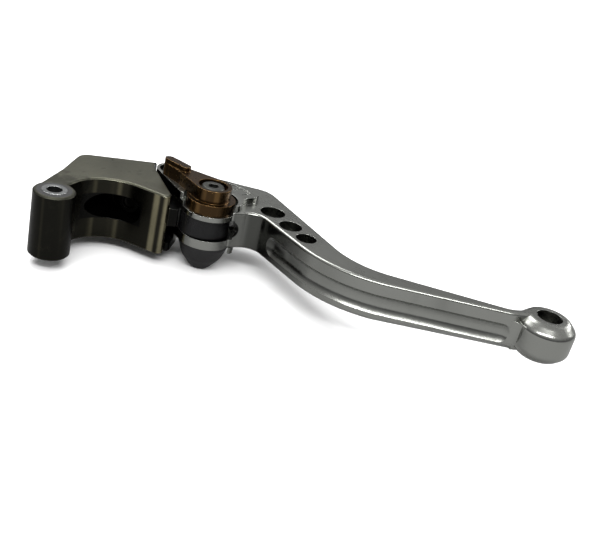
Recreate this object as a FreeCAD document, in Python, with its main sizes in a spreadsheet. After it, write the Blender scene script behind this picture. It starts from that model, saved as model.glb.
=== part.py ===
import FreeCAD, Part
import math
import os

import Sketcher

# Right-hand motorcycle brake lever with a six-position reach adjuster.
# Frame: origin at the middle of the pivot bore on the blade's middle plane, +Z up along the pivot,
# +X along the blade, +Y forward, away from the rider. Millimetres.

os.makedirs("parts", exist_ok=True)
doc = FreeCAD.newDocument("brake_lever")
dims = doc.addObject("Spreadsheet::Sheet", "dims")

SIZES = {
    # pivot on the handlebar perch
    "pivot_bore_radius": 3.1,
    "pivot_sleeve_radius": 5.0,
    "pivot_liner_radius": 6.2,
    "pivot_boss_radius": 8.3,
    "pivot_end_float": 0.2,
    "seal_depth": 1.2,
    "seal_radius": 6.9,
    # clearances
    "running_gap": 0.05,
    "side_gap": 0.1,
    # adapter
    "adapter_top": 11.3,
    "adapter_bottom": 16.2,
    "neck_right": 0.2,
    "neck_left": 11.5,
    "shoulder_y": 30.6,
    "shoulder_radius": 17.8,
    "nose_radius": 2.6,
    "slant_distance": 8.2,
    "front_corner_x": 10.2,
    "front_corner_y": 61.0,
    "adapter_left_x": -17.0,
    "adapter_left_y": 40.8,
    "lip_x": 31.4,
    "lip_y": 48.6,
    "lip_height": 4.2,
    "edge_break": 0.6,
    # push-rod pocket in the adapter's rear face
    "pocket_x": 11.5,
    "pocket_z": -1.0,
    "pocket_width": 20.0,
    "pocket_height": 11.0,
    "pocket_depth": 10.0,
    "cup_radius": 4.6,
    "cup_height": 3.0,
    "cup_dish_radius": 5.0,
    # hinge between the adapter and the blade
    "hinge_x": 19.0,
    "hinge_y": 60.0,
    "ring_radius": 7.5,
    "ring_gap": 1.3,
    "tongue_height": 8.0,
    "tongue_radius": 7.4,
    "shim_thickness": 0.4,
    "hinge_bush_radius": 5.0,
    "spring_wire": 0.7,
    "spring_turns": 4.0,
    "spring_pitch": 0.82,
    # blade
    "blade_thickness": 17.0,
    "plate_rise": 2.8,
    "slot_height": 9.0,
    "slot_reach": 16.6,
    "front_bevel": 2.9,
    "rear_round": 1.2,
    "tip_bevel_start": 0.5,
    "tip_bevel_end": 3.0,
    "bend_x": 110.8,
    "bend_y": 26.6,
    "bend_radius": 49.0,
    "notch_x": 65.2,
    "notch_y": 53.8,
    "notch_radius": 7.0,
    "knuckle_x": 58.4,
    "knuckle_y": 83.7,
    "knuckle_radius": 13.0,
    "finger_x": 115.7,
    "finger_y": 42.3,
    "finger_radius": 30.0,
    "eye_x": 191.8,
    "eye_y": 58.8,
    "eye_radius": 12.0,
    "eye_bevel": 3.6,
    "eye_bore_radius": 5.3,
    "eye_web_radius": 4.0,
    "rear_end_distance": 16.0,
    "rear_end_angle": 213.8,
    "hole_a_x": 69.0,
    "hole_a_y": 60.0,
    "hole_a_radius": 5.5,
    "hole_b_x": 80.6,
    "hole_b_y": 52.8,
    "hole_b_radius": 5.0,
    "hole_c_x": 90.4,
    "hole_c_y": 46.7,
    "hole_c_radius": 4.4,
    "groove_radius": 6.4,
    "groove_depth": 1.6,
    "groove_z": -1.2,
    "groove_start": 13.4,
    "groove_end": 2.6,
    # adjuster
    "cam_x": 45.5,
    "cam_y": 46.0,
    "arm_disc_radius": 11.4,
    "dial_seat_gap": 1.2,
    "dial_seat_drop": 1.9,
    "dial_radius": 10.4,
    "dial_base_height": 4.6,
    "dial_hub_radius": 8.0,
    "dial_hub_height": 5.6,
    "dial_tip_rise": 2.0,
    "dial_tip_angle": 165.0,
    "dial_tip_inner": 16.6,
    "dial_tip_outer": 26.3,
    "dial_tip_half_width": 2.2,
    "dial_counterbore_radius": 6.3,
    "cam_radius": 10.9,
    "cam_offset": 1.45,
    "cam_lobe_angle": 163.0,
    "cam_push_angle": 200.0,
    "cam_height": 8.6,
    "cam_contact_gap": 0.2,
    "cam_contact_half_width": 4.0,
    "cam_room_gap": 0.4,
    "cam_bush_radius": 4.4,
    "drive_pin_radius": 1.0,
    "number_circle": 17.9,
    "number_first_angle": 62.0,
    "number_step": 20.0,
    "number_height": 3.2,
    "number_stroke": 0.42,
    "number_depth": 0.3,
    "band_inner": 14.9,
    "band_outer": 20.9,
    "band_depth": 0.3,
    # detent
    "detent_circle": 8.2,
    "detent_ball_radius": 1.2,
    "detent_track_depth": 0.4,
    "detent_dimple_radius": 0.7,
    "detent_hole_depth": 4.1,
    "detent_wire": 0.4,
    "detent_spring_radius": 0.85,
    "detent_spring_pitch": 0.75,
    "detent_spring_turns": 2.0,
    # fasteners
    "bolt_radius": 3.0,
    "bolt_head_radius": 5.0,
    "bolt_head_height": 3.2,
    "socket_width": 4.3,
    "socket_depth": 2.1,
    "hinge_counterbore_radius": 6.2,
    "nut_width": 10.0,
    "nut_height": 4.0,
    "cap_top_radius": 10.8,
    "cap_height": 12.7,
    "cap_tip_radius": 4.0,
    "cap_thread_depth": 6.4,
    "washer_thickness": 0.6,
    "thrust_washer_radius": 5.4,
    "thrust_washer_thickness": 0.5,
    "index_room_radius": 5.6,
    "index_room_depth": 4.2,
    "index_wire": 0.8,
    "index_spring_radius": 4.4,
    "index_spring_pitch": 1.05,
    "index_spring_turns": 2.5,
}
for row, (alias, value) in enumerate(SIZES.items(), 1):
    dims.set(f"A{row}", alias)
    dims.set(f"B{row}", str(value))
    dims.setAlias(f"B{row}", alias)
doc.recompute()

GAP = "dims.running_gap"
SIDE = "dims.side_gap"
HALF_BLADE = "dims.blade_thickness / 2"
PLATE_TOP = "(dims.blade_thickness / 2 + dims.plate_rise)"
HALF_SLOT = "dims.slot_height / 2"
SEAT = "(dims.blade_thickness / 2 - dims.dial_seat_drop)"
SEAT_RADIUS = "(dims.dial_radius + dims.dial_seat_gap)"
HINGE = ("dims.hinge_x", "dims.hinge_y")
CAM = ("dims.cam_x", "dims.cam_y")
EYE = ("dims.eye_x", "dims.eye_y")
nodes = []


def value(expression):
    """The number that an expression on the sheet comes to."""
    result = dims.evalExpression(str(expression))
    return float(getattr(result, "Value", result))


def keep(shape_object, label):
    shape_object.Label = label
    nodes.append(shape_object)
    return shape_object


# ---------------------------------------------------------------- sketch and feature helpers


def new_body(label, kept=True):
    body = doc.addObject("PartDesign::Body", label)
    if kept:
        keep(body, label)
    return body


def new_sketch(body, name, height, role="XY_Plane"):
    sketch = body.newObject("Sketcher::SketchObject", f"{body.Name}_{name}")
    plane = next(p for p in body.Origin.OriginFeatures if p.Role == role)
    sketch.AttachmentSupport = (plane, [""])
    sketch.MapMode = "FlatFace"
    sketch.setExpression("AttachmentOffset.Base.z", f"({height}) * 1 mm")
    return sketch


def bind(sketch, kind, refs, expression, number=None):
    number = value(expression) if number is None else number
    index = sketch.addConstraint(Sketcher.Constraint(kind, *refs, number))
    sketch.setExpression(f"Constraints[{index}]", f"({expression}) * 1 mm")
    return index


def place_point(sketch, geometry, point, x, y):
    """Ties one point of a sketch to its X and Y expressions, measured from the origin."""
    for kind, expression in (("DistanceX", x), ("DistanceY", y)):
        bind(sketch, kind, (-1, 1, geometry, point), expression)


def circle(sketch, centre, radius):
    x, y = centre
    middle = FreeCAD.Vector(value(x), value(y), 0)
    index = sketch.addGeometry(Part.Circle(middle, FreeCAD.Vector(0, 0, 1), value(radius)), False)
    place_point(sketch, index, 3, x, y)
    bind(sketch, "Radius", (index,), radius)


def outline(sketch, corners):
    """Closed outline through (x, y) or (x, y, radius) corners, each rounded corner a tangent arc."""
    points = [FreeCAD.Vector(value(c[0]), value(c[1]), 0) for c in corners]
    count = len(corners)
    trims = []
    for i, corner in enumerate(corners):
        here, before, after = points[i], points[i - 1], points[(i + 1) % count]
        into, out = (before - here).normalize(), (after - here).normalize()
        if len(corner) == 2:
            trims.append((here, here, None))
            continue
        radius = value(corner[2])
        half = into.getAngle(out) / 2
        reach = radius / math.tan(half)
        centre = here + (into + out).normalize() * (radius / math.sin(half))
        trims.append((here + into * reach, here + out * reach, centre))
    lines = []
    for i in range(count):
        segment = Part.LineSegment(trims[i][1], trims[(i + 1) % count][0])
        lines.append(sketch.addGeometry(segment, False))
    for i, corner in enumerate(corners):
        before, after = lines[i - 1], lines[i]
        start, end, centre = trims[i]
        if centre is None:
            sketch.addConstraint(Sketcher.Constraint("Coincident", before, 2, after, 1))
            place_point(sketch, after, 1, corner[0], corner[1])
            continue
        middle = centre + ((start + end) / 2 - centre).normalize() * value(corner[2])
        arc = sketch.addGeometry(Part.Arc(start, middle, end), False)
        turns_left = ((points[i] - start).cross(end - points[i])).z > 0
        first, last = (1, 2) if turns_left else (2, 1)
        mark = sketch.addGeometry(Part.Point(points[i]), True)
        sketch.addConstraint(
            [
                Sketcher.Constraint("Tangent", before, 2, arc, first),
                Sketcher.Constraint("Tangent", arc, last, after, 1),
                Sketcher.Constraint("PointOnObject", mark, 1, before),
                Sketcher.Constraint("PointOnObject", mark, 1, after),
            ]
        )
        place_point(sketch, mark, 1, corner[0], corner[1])
        bind(sketch, "Radius", (arc,), corner[2])


def extrude(body, kind, sketch, length, midplane=False, down=False):
    """A Pad or Pocket of one sketch. A Pocket runs against its sketch's normal unless down is False."""
    feature = body.newObject(f"PartDesign::{kind}", f"{sketch.Name}_{kind.lower()}")
    feature.Profile = sketch
    sketch.Visibility = False
    feature.setExpression("Length", f"({length}) * 1 mm")
    feature.Midplane = midplane
    if not midplane:
        feature.Reversed = down if kind == "Pad" else not down
    doc.recompute()
    return feature


def pad(body, name, corners, bottom, height):
    sketch = new_sketch(body, name, bottom)
    outline(sketch, corners)
    return extrude(body, "Pad", sketch, height)


def disc(body, name, centre, radius, bottom, height):
    sketch = new_sketch(body, name, bottom)
    circle(sketch, centre, radius)
    return extrude(body, "Pad", sketch, height)


def ring(body, name, centre, inner, outer, bottom, height):
    sketch = new_sketch(body, name, bottom)
    circle(sketch, centre, outer)
    circle(sketch, centre, inner)
    return extrude(body, "Pad", sketch, height)


def bore(body, name, centre, radius, bottom, height):
    sketch = new_sketch(body, name, bottom)
    circle(sketch, centre, radius)
    return extrude(body, "Pocket", sketch, height)


def cut_outline(body, name, corners, bottom, height):
    sketch = new_sketch(body, name, bottom)
    outline(sketch, corners)
    return extrude(body, "Pocket", sketch, height)


def edge_names(feature, test):
    return [f"Edge{i}" for i, edge in enumerate(feature.Shape.Edges, 1) if test(edge)]


def dress(body, kind, feature, names, size):
    """A Fillet or Chamfer of the named edges of one feature."""
    work = body.newObject(f"PartDesign::{kind}", f"{feature.Name}_{kind.lower()}")
    work.Base = (feature, names)
    work.setExpression("Radius" if kind == "Fillet" else "Size", f"({size}) * 1 mm")
    doc.recompute()
    return work


def polar(centre, radius, angle):
    """A point at a radius and an angle in degrees from a centre, as two expressions."""
    x, y = centre
    return (f"{x} + ({radius}) * cos(({angle}) * 1 deg)", f"{y} + ({radius}) * sin(({angle}) * 1 deg)")


def hexagon(centre, width, turn="0"):
    return [polar(centre, f"{width} / 2 / cos(30 deg)", f"{turn} + {60 * k}") for k in range(6)]


def at_height(edge, height):
    box = edge.BoundBox
    return abs(box.ZMin - height) < 1e-4 and abs(box.ZMax - height) < 1e-4


# The edge of each fork arm that faces the adapter is the tangent of the hinge ring and the cam disc.
SPAN_ANGLE = "(atan2(dims.cam_y - dims.hinge_y; dims.cam_x - dims.hinge_x) / 1 deg)"
SPAN = "sqrt((dims.cam_x - dims.hinge_x) ^ 2 + (dims.cam_y - dims.hinge_y) ^ 2)"
ARM_NORMAL = f"({SPAN_ANGLE} - 90 - asin((dims.arm_disc_radius - dims.ring_radius) / {SPAN}) / 1 deg)"
RING_TANGENT = polar(HINGE, "dims.ring_radius", ARM_NORMAL)
DISC_TANGENT = polar(CAM, "dims.arm_disc_radius", ARM_NORMAL)


def revolve(body, name, centre, profile, kind="Revolution"):
    """Turns a closed (radius, height) profile about the vertical line through a centre."""
    x, y = centre
    sketch = new_sketch(body, name, f"-({y})", "XZ_Plane")
    sketch.setExpression("AttachmentOffset.Base.x", f"({x}) * 1 mm")
    outline(sketch, profile)
    turned = body.newObject(f"PartDesign::{kind}", f"{sketch.Name}_turned")
    turned.Profile = sketch
    turned.ReferenceAxis = (sketch, ["V_Axis"])
    turned.Angle = 360
    doc.recompute()
    return turned


def coil(label, centre, bottom, mean_radius, wire_radius, pitch, turns):
    """A closed-form wire coil standing on a height, its axis vertical."""
    x, y = value(centre[0]), value(centre[1])
    mean, rise, sweep = value(mean_radius), value(pitch), value(turns)
    count = round(12 * sweep)
    points = []
    for i in range(count + 1):
        turned = sweep * i / count
        angle = 2 * math.pi * turned
        points.append(FreeCAD.Vector(mean * math.cos(angle), mean * math.sin(angle), rise * turned))
    line = Part.BSplineCurve()
    line.interpolate(points)
    start_direction = line.tangent(line.FirstParameter)[0]
    profile = Part.Wire([Part.makeCircle(value(wire_radius), points[0], start_direction)])
    solid = Part.Wire(line.toShape()).makePipeShell([profile], True, True)
    feature = doc.addObject("Part::Feature", label)
    feature.Shape = solid
    feature.Placement.Base = FreeCAD.Vector(x, y, value(bottom) + value(wire_radius))
    return keep(feature, label)


# ---------------------------------------------------------------- pivot and adapter

BOTTOM = "-dims.adapter_bottom"
ADAPTER_HEIGHT = "(dims.adapter_top + dims.adapter_bottom)"
ORIGIN = ("0", "0")
SLANT_SUM = "(dims.hinge_x + dims.hinge_y - dims.slant_distance * sqrt(2))"
PUSH_DISTANCE = (
    "(dims.cam_radius + dims.cam_offset * cos((dims.cam_push_angle - dims.cam_lobe_angle) * 1 deg)"
    " + dims.cam_contact_gap)"
)
PUSH_POINT = polar(CAM, PUSH_DISTANCE, "dims.cam_push_angle")
POCKET_FLOOR = "(dims.shoulder_y + dims.pocket_depth)"

ring(
    new_body("pivot_sleeve"), "tube", ORIGIN, "dims.pivot_bore_radius", "dims.pivot_sleeve_radius",
    f"{BOTTOM} - dims.pivot_end_float", f"{ADAPTER_HEIGHT} + 2 * dims.pivot_end_float",
)
ring(
    new_body("pivot_liner"), "tube", ORIGIN, f"dims.pivot_sleeve_radius + {GAP}",
    "dims.pivot_liner_radius", f"{BOTTOM} + dims.seal_depth", f"{ADAPTER_HEIGHT} - 2 * dims.seal_depth",
)

adapter = new_body("perch_adapter")
slant_x = f"{SLANT_SUM} - dims.shoulder_y"
pad(
    adapter, "arm",
    [
        ("dims.neck_right", "0"),
        ("dims.neck_right", "dims.shoulder_y", "dims.shoulder_radius"),
        (slant_x, "dims.shoulder_y", "dims.nose_radius"),
        polar(HINGE, "dims.slant_distance", "225"),
        ("dims.front_corner_x", "dims.front_corner_y", "1.2"),
        ("dims.adapter_left_x", "dims.adapter_left_y", "6"),
        ("-dims.neck_left", "21", "16"),
        ("-dims.pivot_boss_radius + 0.6", "0"),
    ],
    BOTTOM, ADAPTER_HEIGHT,
)
pad(
    adapter, "lip",
    [
        (f"{slant_x} - 6", f"dims.shoulder_y + 5"),
        (f"{slant_x} - 2.6", "dims.shoulder_y + 6", "1.5"),
        ("dims.lip_x", "dims.lip_y", "3"),
        ("dims.lip_x - 7", "dims.lip_y + 3", "2"),
        polar(HINGE, "dims.slant_distance + 3", "225"),
    ],
    BOTTOM, "dims.lip_height",
)
arm = disc(adapter, "boss", ORIGIN, "dims.pivot_boss_radius", BOTTOM, ADAPTER_HEIGHT)
top_z, bottom_z = value("dims.adapter_top"), value(BOTTOM)
arm = dress(
    adapter, "Chamfer", arm,
    edge_names(arm, lambda e: at_height(e, top_z) or at_height(e, bottom_z)), "dims.edge_break",
)
RING_ROOM = "(dims.ring_radius + dims.ring_gap)"
bore(adapter, "ring_room", HINGE, RING_ROOM, f"{BOTTOM} - 1", f"{ADAPTER_HEIGHT} + 2")
bore(adapter, "pivot_bore", ORIGIN, "dims.pivot_liner_radius", f"{BOTTOM} - 1", f"{ADAPTER_HEIGHT} + 2")
for name, bottom in (("top", "dims.adapter_top - dims.seal_depth"), ("bottom", BOTTOM)):
    bore(adapter, f"seal_{name}", ORIGIN, "dims.seal_radius", bottom, "dims.seal_depth")
HALF_TONGUE = "dims.tongue_height / 2"
pad(
    adapter, "tongue",
    [
        ("dims.hinge_x - 9", "dims.hinge_y - 15"),
        ("dims.hinge_x + 3", "dims.shoulder_y + 2"),
        (f"{slant_x} - 7.4", "dims.shoulder_y + 3"),
        polar(PUSH_POINT, "dims.cam_contact_half_width", "dims.cam_push_angle + 90"),
        polar(PUSH_POINT, "dims.cam_contact_half_width", "dims.cam_push_angle - 90"),
        polar(HINGE, "dims.tongue_radius", "-37"),
        HINGE,
        ("dims.hinge_x - 9", "dims.hinge_y + 2"),
    ],
    f"-{HALF_TONGUE}", "dims.tongue_height",
)
disc(adapter, "tongue_end", HINGE, "dims.tongue_radius", f"-{HALF_TONGUE}", "dims.tongue_height")
bore(adapter, "hinge_bore", HINGE, f"dims.hinge_bush_radius + {GAP}", f"-{HALF_TONGUE}", "dims.tongue_height")
SPRING_RADIUS = f"(dims.hinge_bush_radius + 5 * {GAP} + dims.spring_wire / 2)"
SPRING_ROOM = f"({SPRING_RADIUS} + dims.spring_wire / 2 + 3 * {GAP})"
SPRING_DEPTH = f"(dims.spring_turns * dims.spring_pitch + dims.spring_wire + {SIDE})"
bore(adapter, "spring_room", HINGE, SPRING_ROOM, f"-{HALF_TONGUE}", SPRING_DEPTH)
pocket = new_sketch(adapter, "pocket", "-(dims.shoulder_y - dims.shoulder_radius)", "XZ_Plane")
outline(
    pocket,
    [
        (
            f"dims.pocket_x {sx} dims.pocket_width / 2", f"dims.pocket_z {sz} dims.pocket_height / 2",
            "dims.pocket_height * 0.499",
        )
        for sx, sz in (("-", "-"), ("+", "-"), ("+", "+"), ("-", "+"))
    ],
)
extrude(adapter, "Pocket", pocket, "dims.shoulder_radius + dims.pocket_depth", down=True)

seals = new_body("pivot_seal_top", kept=False)
ring(
    seals, "ring", ORIGIN, f"dims.pivot_sleeve_radius + {GAP}", "dims.seal_radius",
    "dims.adapter_top - dims.seal_depth", "dims.seal_depth",
)
lower_seal = new_body("pivot_seal_bottom", kept=False)
ring(
    lower_seal, "ring", ORIGIN, f"dims.pivot_sleeve_radius + {GAP}", "dims.seal_radius", BOTTOM,
    "dims.seal_depth",
)
seal_pair = doc.addObject("Part::Compound", "pivot_seals")
seal_pair.Links = [seals, lower_seal]
keep(seal_pair, "pivot_seals")

cup = new_body("pushrod_cup")
cup_sketch = new_sketch(cup, "disc", f"-{POCKET_FLOOR}", "XZ_Plane")
circle(cup_sketch, ("dims.pocket_x", "dims.pocket_z"), "dims.cup_radius")
extrude(cup, "Pad", cup_sketch, "dims.cup_height")
dish = new_sketch(cup, "dish", f"-({POCKET_FLOOR} - dims.cup_height)", "XZ_Plane")
circle(dish, ("dims.pocket_x", "dims.pocket_z"), "dims.cup_radius * 0.65")
dish_cut = extrude(cup, "Pocket", dish, "dims.cup_height / 2", down=True)
dish_floor_y = value(f"{POCKET_FLOOR} - dims.cup_height / 2")
dress(
    cup, "Fillet", dish_cut,
    edge_names(
        dish_cut,
        lambda e: abs(e.BoundBox.YMin - dish_floor_y) < 1e-4 and abs(e.BoundBox.YMax - dish_floor_y) < 1e-4,
    ),
    "dims.cup_height * 0.45",
)

# ---------------------------------------------------------------- hinge core

ring(
    new_body("hinge_bush"), "tube", HINGE, f"dims.bolt_radius + {GAP}", "dims.hinge_bush_radius",
    f"-({HALF_SLOT} - {SIDE})", f"dims.slot_height - 2 * {SIDE}",
)
shims = []
SHIM_BOTTOMS = {"top": f"{HALF_TONGUE} + {GAP}", "bottom": f"-{HALF_TONGUE} - {GAP} - dims.shim_thickness"}
for name, bottom in SHIM_BOTTOMS.items():
    shim = new_body(f"hinge_shim_{name}", kept=False)
    ring(
        shim, "ring", HINGE, f"dims.hinge_bush_radius + {GAP}", "dims.tongue_radius - 0.4", bottom,
        "dims.shim_thickness",
    )
    shims.append(shim)
shim_pair = doc.addObject("Part::Compound", "hinge_shims")
shim_pair.Links = shims
keep(shim_pair, "hinge_shims")
coil(
    "return_spring", HINGE, f"-{HALF_TONGUE} + {GAP}", SPRING_RADIUS, "dims.spring_wire / 2",
    "dims.spring_pitch", "dims.spring_turns",
)

# ---------------------------------------------------------------- blade

blade = new_body("blade_blank", kept=False)
blank_sketch = new_sketch(blade, "profile", f"-{HALF_BLADE}")
BEND = ("dims.bend_x", "dims.bend_y", "dims.bend_radius")
NOTCH = ("dims.notch_x", "dims.notch_y", "dims.notch_radius")
REAR_END = (*polar(EYE, "dims.rear_end_distance", "dims.rear_end_angle"), "6")
outline(
    blank_sketch,
    [
        RING_TANGENT,
        DISC_TANGENT,
        ("dims.cam_x + 10.5", "dims.cam_y - 1.5"),
        NOTCH,
        BEND,
        REAR_END,
        EYE,
        ("dims.eye_x - 7.3", "dims.eye_y + 6.7"),
        ("dims.eye_x - 14.3", "dims.eye_y - 3.4", "10"),
        ("dims.finger_x", "dims.finger_y", "dims.finger_radius"),
        ("dims.knuckle_x", "dims.knuckle_y", "dims.knuckle_radius"),
        ("dims.hinge_x + 4", "dims.hinge_y + 13.1", "6"),
        polar(HINGE, "dims.ring_radius", "130"),
        HINGE,
    ],
)
blank = extrude(blade, "Pad", blank_sketch, "dims.blade_thickness")
half = value(HALF_BLADE)
front_middle = FreeCAD.Vector(
    value("(dims.knuckle_x + dims.finger_x) / 2"), value("(dims.knuckle_y + dims.finger_y) / 2"), 0
)
rear_middle = FreeCAD.Vector(
    value("(dims.notch_x + dims.bend_x) / 2"), value("(dims.notch_y + dims.bend_y) / 2"), 0
)


def rim_through(feature, point):
    """The two edges, one on each flat face, that pass the given place in plan."""
    names = []
    for height in (-half, half):
        spot = Part.Vertex(point.x, point.y, height)
        nearest = min(
            (i for i, e in enumerate(feature.Shape.Edges, 1) if at_height(e, height)),
            key=lambda i: feature.Shape.Edges[i - 1].distToShape(spot)[0],
        )
        names.append(f"Edge{nearest}")
    return names


bevelled = dress(blade, "Chamfer", blank, rim_through(blank, front_middle), "dims.front_bevel")
bevelled = dress(blade, "Fillet", bevelled, rim_through(bevelled, rear_middle), "dims.rear_round")
revolve(
    blade, "eye", EYE,
    [
        ("0", f"-{HALF_BLADE}"),
        ("dims.eye_radius - dims.eye_bevel", f"-{HALF_BLADE}", "dims.eye_bevel"),
        ("dims.eye_radius", f"-{HALF_BLADE} + dims.eye_bevel", "dims.eye_bevel"),
        ("dims.eye_radius", f"{HALF_BLADE} - dims.eye_bevel", "dims.eye_bevel"),
        ("dims.eye_radius - dims.eye_bevel", HALF_BLADE, "dims.eye_bevel"),
        ("0", HALF_BLADE),
    ],
)
pad(
    blade, "eye_web",
    [
        polar(EYE, "dims.rear_end_distance - 0.1", "dims.rear_end_angle"),
        (*polar(EYE, "dims.eye_radius", "dims.rear_end_angle"), "dims.eye_web_radius"),
        polar(EYE, "dims.eye_radius", "dims.rear_end_angle + 20"),
        EYE,
        polar(EYE, "dims.rear_end_distance - 0.1", "dims.rear_end_angle - 5"),
    ],
    f"dims.eye_bevel - {HALF_BLADE}", "dims.blade_thickness - 2 * dims.eye_bevel",
)
disc(blade, "hinge_ring", HINGE, "dims.ring_radius", f"-{PLATE_TOP}", f"2 * {PLATE_TOP}")
disc(blade, "cam_disc", CAM, "dims.arm_disc_radius", f"-{HALF_BLADE}", "dims.blade_thickness")
PLATE = [
    RING_TANGENT,
    tuple(f"0.2 * ({a}) + 0.8 * ({b})" for a, b in zip(RING_TANGENT, DISC_TANGENT)),
    CAM,
    ("dims.cam_x + 12.6", "dims.cam_y + 0.6"),
    ("dims.cam_x + 13.1", "dims.cam_y + 2.4", "0.8"),
    ("dims.cam_x + 10.5", "dims.cam_y + 10", "7"),
    ("dims.cam_x + 13.8", "dims.cam_y + 16", "6"),
    ("dims.cam_x + 13.1", "dims.cam_y + 23", "4"),
    ("dims.cam_x - 1", "dims.cam_y + 23.6", "25"),
    ("dims.hinge_x + 12", "dims.hinge_y + 4.6", "5"),
    polar(HINGE, "dims.ring_radius", "62"),
    HINGE,
]
pad(blade, "plate_top", PLATE, HALF_BLADE, "dims.plate_rise")
pad(blade, "plate_bottom", PLATE, f"-{PLATE_TOP}", "dims.plate_rise")
slot = new_sketch(blade, "slot", f"-{HALF_SLOT}")
outline(
    slot,
    [
        ("dims.cam_x + dims.slot_reach", "dims.cam_y - 3.6"),
        ("dims.cam_x + dims.slot_reach - 22.5", "dims.cam_y + 36.9"),
        ("-20", "dims.cam_y + 36.9"),
        ("-20", "dims.cam_y - 30"),
        ("dims.cam_x + dims.slot_reach", "dims.cam_y - 30"),
    ],
)
slotted = extrude(blade, "Pocket", slot, "dims.slot_height")
end_middle = FreeCAD.Vector(value("dims.cam_x + dims.slot_reach - 11.25"), value("dims.cam_y + 16.65"), 0)
half_slot = value(HALF_SLOT)
end_edges = [
    f"Edge{i}"
    for i, e in enumerate(slotted.Shape.Edges, 1)
    if (at_height(e, half_slot) or at_height(e, -half_slot))
    and e.distToShape(Part.Vertex(end_middle.x, end_middle.y, e.BoundBox.ZMin))[0] < 0.01
]
slotted = dress(blade, "Fillet", slotted, end_edges, "dims.slot_height * 0.48")
bore(
    blade, "cam_room", CAM, "dims.cam_radius + dims.cam_offset + dims.cam_room_gap", f"-({HALF_SLOT})",
    "dims.slot_height",
)
bore(blade, "dial_seat", CAM, SEAT_RADIUS, SEAT, f"{PLATE_TOP} - {SEAT} + 1")
bore(blade, "cap_seat", CAM, SEAT_RADIUS, f"-{PLATE_TOP} - 1", "dims.plate_rise + 1")
bore(blade, "hinge_hole", HINGE, f"dims.bolt_radius + {GAP}", f"-{PLATE_TOP} - 1", f"2 * {PLATE_TOP} + 2")
HEAD_SEAT = f"({PLATE_TOP} - dims.bolt_head_height - 0.2)"
bore(blade, "head_room", HINGE, "dims.hinge_counterbore_radius", HEAD_SEAT, "dims.bolt_head_height + 1")
NUT_SEAT = f"({PLATE_TOP} - dims.nut_height - 0.3)"
bore(blade, "nut_room", HINGE, "dims.hinge_counterbore_radius", f"-{PLATE_TOP} - 1", "dims.nut_height + 1.3")
bore(blade, "neck_hole", CAM, f"dims.cam_bush_radius + {GAP}", "0", f"{PLATE_TOP}")
bore(blade, "bolt_hole", CAM, f"dims.bolt_radius + {GAP}", f"-{PLATE_TOP}", f"{PLATE_TOP}")
for letter in "abc":
    bore(
        blade, f"hole_{letter}", (f"dims.hole_{letter}_x", f"dims.hole_{letter}_y"),
        f"dims.hole_{letter}_radius", f"-{HALF_BLADE} - 1", "dims.blade_thickness + 2",
    )
bore(blade, "eye_bore", EYE, "dims.eye_bore_radius", f"-{HALF_BLADE} - 1", "dims.blade_thickness + 2")
track = new_sketch(blade, "track", SEAT)
circle(track, CAM, "dims.detent_circle + dims.detent_ball_radius")
circle(track, CAM, "dims.detent_circle - dims.detent_ball_radius")
extrude(blade, "Pocket", track, "dims.detent_track_depth", down=True)
DETENT_ANGLE = "(dims.dial_tip_angle - 180)"
dimples = new_sketch(blade, "dimples", f"{SEAT} - dims.detent_track_depth")
for step in range(6):
    spot = polar(CAM, "dims.detent_circle", f"{DETENT_ANGLE} - {step} * dims.number_step")
    circle(dimples, spot, "dims.detent_dimple_radius")
extrude(blade, "Pocket", dimples, "dims.detent_track_depth / 2", down=True)

# Milled details that finish the blade: the finger groove, the dial band and its engraved numbers.


def groove_cutter():
    """Ball-nosed cutter path parallel to the rear edge, from the notch to the eye."""
    corners = [FreeCAD.Vector(value(x), value(y), 0) for x, y, _ in (NOTCH, BEND, REAR_END)]
    height = value("dims.groove_z")
    radius = value("dims.groove_radius")
    standoff = radius - value("dims.groove_depth")
    into = (corners[1] - corners[0]).normalize()
    out = (corners[2] - corners[1]).normalize()
    normals = [FreeCAD.Vector(d.y, -d.x, 0) * standoff for d in (into, out)]
    bend = value("dims.bend_radius")
    half_turn = into.getAngle(out) / 2
    reach = bend * math.tan(half_turn)
    first = corners[0] + into * value("dims.groove_start") + normals[0]
    last = corners[2] - out * value("dims.groove_end") + normals[1]
    start = corners[1] - into * reach + normals[0]
    end = corners[1] + out * reach + normals[1]
    outward = (normals[0] + normals[1]).normalize()
    centre = corners[1] - outward * (bend / math.cos(half_turn))
    middle = centre + outward * (bend + standoff)
    lift = FreeCAD.Vector(0, 0, height)
    first, start, middle, end, last = (p + lift for p in (first, start, middle, end, last))
    path = Part.Wire(
        [
            Part.LineSegment(first, start).toShape(),
            Part.Arc(start, middle, end).toShape(),
            Part.LineSegment(end, last).toShape(),
        ]
    )
    profile = Part.Wire([Part.makeCircle(radius, first, into)])
    cutter = path.makePipeShell([profile], True, False)
    return cutter.multiFuse([Part.makeSphere(radius, first), Part.makeSphere(radius, last)])


def tip_bevel_cutter():
    """Wedge along the lower rear edge that widens from the bend to the tip."""
    bend, end = (FreeCAD.Vector(value(x), value(y), 0) for x, y, _ in (BEND, REAR_END))
    along = (end - bend).normalize()
    inward = FreeCAD.Vector(-along.y, along.x, 0)
    down = FreeCAD.Vector(0, 0, -1)
    edge = down * value(HALF_BLADE)
    beyond = end + along * value("dims.rear_end_distance - dims.eye_radius")
    faces = []
    for spot, size in ((bend, value("dims.tip_bevel_start")), (beyond, value("dims.tip_bevel_end"))):
        corner = spot + edge
        spare = size + 1
        points = [
            corner + inward * spare + down * (spare - size),
            corner - inward * (spare - size) - down * spare,
            corner - inward * spare + down * spare,
        ]
        faces.append(Part.makePolygon(points + points[:1]))
    return Part.makeLoft(faces, True, True)


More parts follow.
